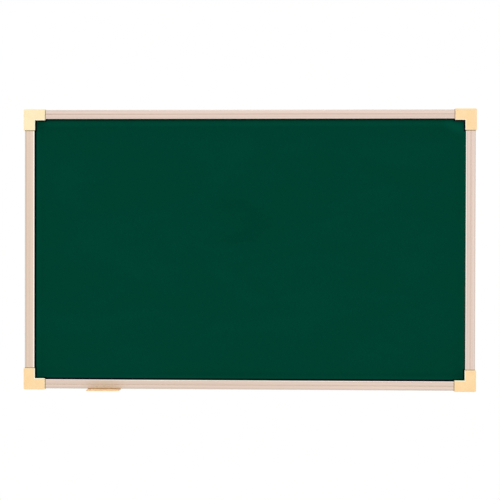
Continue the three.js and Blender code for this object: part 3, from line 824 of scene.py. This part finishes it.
def screw_thread(tree, given):
    """A four-sided ridge along a spiral, which narrows with the screw's point."""
    height = add(tree, "ShaderNodeMath", {
        0: given["Length"], 1: given["Thread Start"],
    }, operation="SUBTRACT")
    turns = add(tree, "ShaderNodeMath", {
        0: height.outputs[0], 1: given["Thread Pitch"],
    }, operation="DIVIDE")
    spiral = add(tree, "GeometryNodeCurveSpiral", {
        "Resolution": 20, "Rotations": turns.outputs[0], "Start Radius": given["Root Radius"],
        "End Radius": given["Root Radius"], "Height": height.outputs[0],
    })
    point = add(tree, "ShaderNodeMath", {0: given["Length"], 1: -1.0}, operation="MULTIPLY")
    lowering = add(tree, "ShaderNodeCombineXYZ", {"Z": point.outputs[0]})
    lowered = add(tree, "GeometryNodeTransform", {
        "Geometry": spiral.outputs[0], "Translation": lowering.outputs[0],
    })

    # The tip's cone, from its own radius at the point to the full radius where the shank begins
    tip_end = add(tree, "ShaderNodeMath", {
        0: given["Tip Length"], 1: given["Length"],
    }, operation="SUBTRACT")
    sharpness = add(tree, "ShaderNodeMath", {
        0: given["Tip Radius"], 1: given["Root Radius"],
    }, operation="DIVIDE")
    position = add(tree, "GeometryNodeInputPosition")
    spot = add(tree, "ShaderNodeSeparateXYZ", {0: position.outputs[0]})
    narrowing = add(tree, "ShaderNodeMapRange", {
        "Value": spot.outputs["Z"], "From Min": point.outputs[0], "From Max": tip_end.outputs[0],
        "To Min": sharpness.outputs[0],
    })
    narrowed = [
        add(tree, "ShaderNodeMath", {
            0: spot.outputs[axis], 1: narrowing.outputs[0],
        }, operation="MULTIPLY")
        for axis in "XY"
    ]
    drawn_in = add(tree, "ShaderNodeCombineXYZ", {
        "X": narrowed[0].outputs[0], "Y": narrowed[1].outputs[0], "Z": spot.outputs["Z"],
    })
    path = add(tree, "GeometryNodeSetPosition", {
        "Geometry": lowered.outputs[0], "Position": drawn_in.outputs[0],
    })
    upright = add(tree, "GeometryNodeSetCurveNormal", {"Curve": path.outputs[0]}, mode="Z_UP")
    tapered = add(tree, "GeometryNodeSetCurveRadius", {
        "Curve": upright.outputs[0], "Radius": narrowing.outputs[0],
    })
    ridge = add(tree, "GeometryNodeCurvePrimitiveCircle", {
        "Resolution": 4, "Radius": given["Thread Ridge"],
    })
    return add(tree, "GeometryNodeCurveToMesh", {
        "Curve": tapered.outputs[0], "Profile Curve": ridge.outputs[0], "Scale": narrowing.outputs[0],
        "Fill Caps": True,
    }).outputs[0]


def cross_recess(tree, given):
    """Two crossed slots, which reach as far below the head's flat as above it."""
    tall = add(tree, "ShaderNodeMath", {0: given["Recess Depth"], 1: 2.0}, operation="MULTIPLY")
    slot_size = add(tree, "ShaderNodeCombineXYZ", {
        "X": given["Recess Span"], "Y": given["Recess Width"], "Z": tall.outputs[0],
    })
    slot = add(tree, "GeometryNodeMeshCube", {"Size": slot_size.outputs[0]})
    crossed = add(tree, "GeometryNodeTransform", {
        "Geometry": slot.outputs[0], "Rotation": (0.0, 0.0, math.pi / 2),
    })
    return [slot.outputs[0], crossed.outputs[0]]


def screw_tree():
    """Threads a blank, cuts its cross recess, and stands a copy on every point, turned at random."""
    tree = bpy.data.node_groups.new("screw_set", "GeometryNodeTree")
    tree.interface.new_socket("Places", in_out="INPUT", socket_type="NodeSocketGeometry")
    tree.interface.new_socket("Blank", in_out="INPUT", socket_type="NodeSocketObject")
    for size in SCREW_SIZES:
        tree.interface.new_socket(size, in_out="INPUT", socket_type="NodeSocketFloat")
    tree.interface.new_socket("Seed", in_out="INPUT", socket_type="NodeSocketInt")
    tree.interface.new_socket("Finish", in_out="INPUT", socket_type="NodeSocketMaterial")
    tree.interface.new_socket("Screws", in_out="OUTPUT", socket_type="NodeSocketGeometry")
    given = add(tree, "NodeGroupInput").outputs
    blank = add(tree, "GeometryNodeObjectInfo", {"Object": given["Blank"]}, transform_space="ORIGINAL")
    threaded = add(tree, "GeometryNodeMeshBoolean", {
        "Mesh 2": [blank.outputs["Geometry"], screw_thread(tree, given)],
    }, operation="UNION", solver="EXACT")
    screw = add(tree, "GeometryNodeMeshBoolean", {
        "Mesh 1": threaded.outputs[0], "Mesh 2": cross_recess(tree, given),
    }, operation="DIFFERENCE", solver="EXACT")

    # The heads face backwards, and each screw stopped at its own turn
    turn = add(tree, "FunctionNodeRandomValue", {
        2: 0.0, 3: 2 * math.pi, "Seed": given["Seed"],
    }, data_type="FLOAT")
    facing = add(tree, "ShaderNodeCombineXYZ", {"X": -math.pi / 2, "Y": turn.outputs[1]})
    screws = add(tree, "GeometryNodeInstanceOnPoints", {
        "Points": given["Places"], "Instance": screw.outputs[0], "Rotation": facing.outputs[0],
        "Scale": (MM, MM, MM),
    })
    real = add(tree, "GeometryNodeRealizeInstances", {"Geometry": screws.outputs[0]})
    finished = add(tree, "GeometryNodeSetMaterial", {
        "Geometry": real.outputs[0], "Material": given["Finish"],
    })
    add(tree, "NodeGroupOutput", {0: finished.outputs[0]})
    return tree


def drive_screws(nodes, material):
    """One mesh of all the screws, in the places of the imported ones."""
    places = bmesh.new()
    for node in nodes:
        low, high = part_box(node)
        places.verts.new(((low.x + high.x) / 2, high.y, (low.z + high.z) / 2))
    piece = placed("corner_screws", mesh_of("corner_screws", places))
    blank = screw_blank()
    modifier = piece.modifiers.new("screw_set", "NODES")
    modifier.node_group = screw_tree()
    values = {"Blank": blank, "Seed": SCREW_SEED, "Finish": material, **SCREW_SIZES}
    for socket in modifier.node_group.interface.items_tree:
        if socket.name in values:
            modifier[socket.identifier] = values[socket.name]
    screws = evaluated_copy(piece, "corner_screws")
    bpy.data.objects.remove(blank)
    screws.data.shade_smooth()
    screws.data.set_sharp_from_angle(angle=math.radians(SHARP_ANGLE))
    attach(screws, "board")
    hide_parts(*nodes)


# Stage


def place_camera():
    """The camera where the photograph's stood."""
    camera = bpy.data.objects.new("camera", bpy.data.cameras.new("camera"))
    camera.data.lens = FOCAL_LENGTH
    camera.data.sensor_width = SENSOR_WIDTH
    turn = Matrix.Rotation(math.radians(CAMERA_TURN), 4, "Z")
    tilt = Matrix.Rotation(math.radians(90 + CAMERA_TILT), 4, "X")
    roll = Matrix.Rotation(math.radians(-CAMERA_ROLL), 4, "Z")
    place = Matrix.Translation(Vector(CAMERA_PLACE) * MM)
    camera.matrix_world = place @ turn @ tilt @ roll
    bpy.context.scene.collection.objects.link(camera)
    bpy.context.scene.camera = camera


def light_world():
    """White to the camera, in reflections and through glass, and softer light on matt surfaces.

    The soft light is stronger from above.
    """
    world = bpy.data.worlds.new("studio")
    bpy.context.scene.world = world
    world.use_nodes = True
    tree = world.node_tree
    tree.nodes.clear()
    path = add(tree, "ShaderNodeLightPath")
    seen = add(tree, "ShaderNodeMath", {
        0: path.outputs["Is Camera Ray"], 1: path.outputs["Is Glossy Ray"],
    }, operation="ADD")
    white = add(tree, "ShaderNodeMath", {
        0: seen.outputs[0], 1: path.outputs["Is Transmission Ray"],
    }, operation="ADD", use_clamp=True)
    direction = add(tree, "ShaderNodeTexCoord")
    height = add(tree, "ShaderNodeSeparateXYZ", {0: direction.outputs["Generated"]})
    light = add(tree, "ShaderNodeMapRange", {
        "Value": height.outputs["Z"], "From Min": -1.0, "From Max": 1.0,
        "To Min": WORLD_BELOW, "To Max": WORLD_ABOVE,
    })
    level = add(tree, "ShaderNodeMapRange", {
        "Value": white.outputs[0], "To Min": light.outputs[0], "To Max": 1.0,
    })
    background = add(tree, "ShaderNodeBackground", {
        "Color": (1.0, 1.0, 1.0, 1.0), "Strength": level.outputs[0],
    })
    add(tree, "ShaderNodeOutputWorld", {"Surface": background.outputs[0]})


def place_soft_box():
    """A square lamp that faces the middle of the board."""
    lamp = bpy.data.objects.new("key_lamp", bpy.data.lights.new("key_lamp", "AREA"))
    lamp.data.shape = "SQUARE"
    lamp.data.size = SOFT_BOX_SIZE * MM
    lamp.data.energy = SOFT_BOX_POWER
    place = Vector(SOFT_BOX_PLACE)
    aim = (BOARD_MIDDLE - place).to_track_quat("-Z", "Y").to_matrix().to_4x4()
    lamp.matrix_world = Matrix.Translation(place * MM) @ aim
    bpy.context.scene.collection.objects.link(lamp)


def lay_floor(height):
    """A pale floor, well below the board, which fades into the white background at its rim."""
    material, tree, place = started_material("pale_floor")
    cloud = add(tree, "ShaderNodeTexNoise", {"Vector": place, "Scale": 2.0, "Detail": 2.0})
    dark, light = PALE_FLOOR
    colour = add(tree, "ShaderNodeMix", {
        0: cloud.outputs[0], 6: linear(dark), 7: linear(light),
    }, data_type="RGBA")
    pale = add(tree, "ShaderNodeBsdfPrincipled", {
        "Base Color": colour.outputs[2], "Roughness": 0.9, "Specular IOR Level": 0.0,
    })
    across = 1 / (FLOOR_RADIUS * MM)
    flat = add(tree, "ShaderNodeMapping", {"Vector": place, "Scale": (across, across, 0.0)})
    rim = add(tree, "ShaderNodeTexGradient", {"Vector": flat.outputs[0]}, gradient_type="SPHERICAL")
    solid = add(tree, "ShaderNodeMapRange", {"Value": rim.outputs["Fac"], "From Max": 0.6})
    clear = add(tree, "ShaderNodeBsdfTransparent")
    mixed = add(tree, "ShaderNodeMixShader", {
        0: solid.outputs[0], 1: clear.outputs[0], 2: pale.outputs[0],
    })
    add(tree, "ShaderNodeOutputMaterial", {"Surface": mixed.outputs[0]})
    disc = bmesh.new()
    bmesh.ops.create_circle(disc, cap_ends=True, segments=FLOOR_SIDES, radius=FLOOR_RADIUS * MM)
    bmesh.ops.translate(disc, verts=disc.verts, vec=(0, 0, height))
    floor = placed("floor", mesh_of("floor", disc))
    floor.data.materials.append(material)


# The board

place_camera()
light_world()
place_soft_box()
lay_floor(cad_bounds[0][2] - FLOOR_BELOW_BOARD * MM)
bpy.context.scene.view_settings.view_transform = "Standard"

cream_plastic = moulded_cap_plastic("cream_abs", CREAM, CREAM_HIGHLIGHT)
pale_plastic = moulded_cap_plastic("pale_cream_abs", PALE_CREAM, PALE_CREAM_HIGHLIGHT)
zinc = zinc_plated_steel()

for rail, finish in RAIL_FINISHES.items():
    aluminium = anodised_aluminium(f"anodised_aluminium_{rail}", finish)
    dress(rail, "board", aluminium, METAL_EDGE)
for corner in ("top_right", "bottom_right", "bottom_left"):
    dress(f"{corner}_cap", "board", cream_plastic, PLASTIC_EDGE)
dress("top_left_cap", "board", pale_plastic, PLASTIC_EDGE)
dress("chalk_ledge", "ledge", moulded_ledge_plastic(), PLASTIC_EDGE)
dress("left_wall_hook", "left_hook", zinc, METAL_EDGE)
dress("right_wall_hook", "right_hook", zinc, METAL_EDGE)
drive_screws([
    f"{corner}_screw_{number}"
    for corner in ("top_left", "top_right", "bottom_right", "bottom_left")
    for number in (1, 2)
], zinc)

repaint("writing_sheet", chalk_coating())
repaint("core_board", pressed_fibre())
repaint("back_sheet", galvanised_steel())
